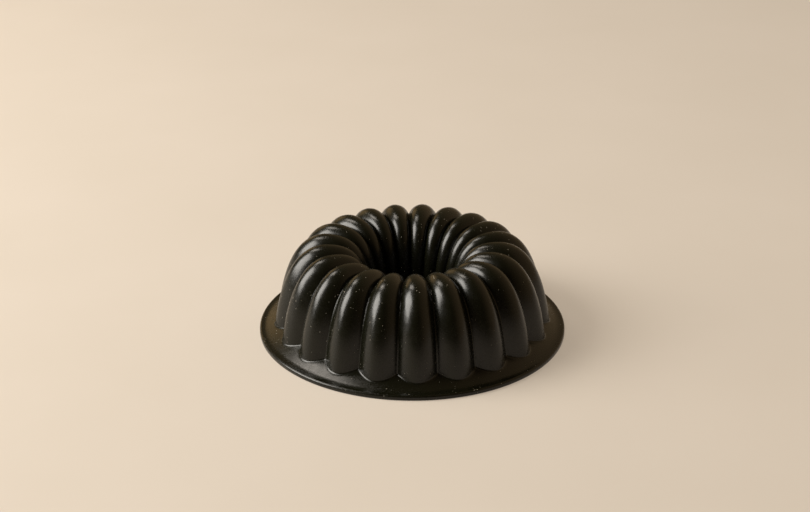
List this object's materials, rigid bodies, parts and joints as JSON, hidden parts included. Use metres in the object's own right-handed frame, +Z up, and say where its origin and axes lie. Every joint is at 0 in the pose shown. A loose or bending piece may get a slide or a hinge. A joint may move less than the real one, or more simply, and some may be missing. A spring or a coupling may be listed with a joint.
{
  "type": "ring cake mould",
  "caption": "Fluted ring cake mould in black silicone, standing crown up on a flat flange, with a steel hoop moulded into its rim.",
  "frame": {"origin": "centre of the rim's rest face, on the ring's axis", "axes": "+Z up along the ring's axis towards the crown, -Y to the front, through the ridge of one flute"},
  "size_m": [0.25, 0.25, 0.0763],
  "materials": {
    "black_silicone": "moulded, smooth satin with a soft sheen, lightly dusted",
    "spring_steel": "drawn bright wire"
  },
  "bodies": {
    "root": {"silicone_body": "black_silicone", "rim_hoop": "spring_steel"}
  },
  "joints": []
}
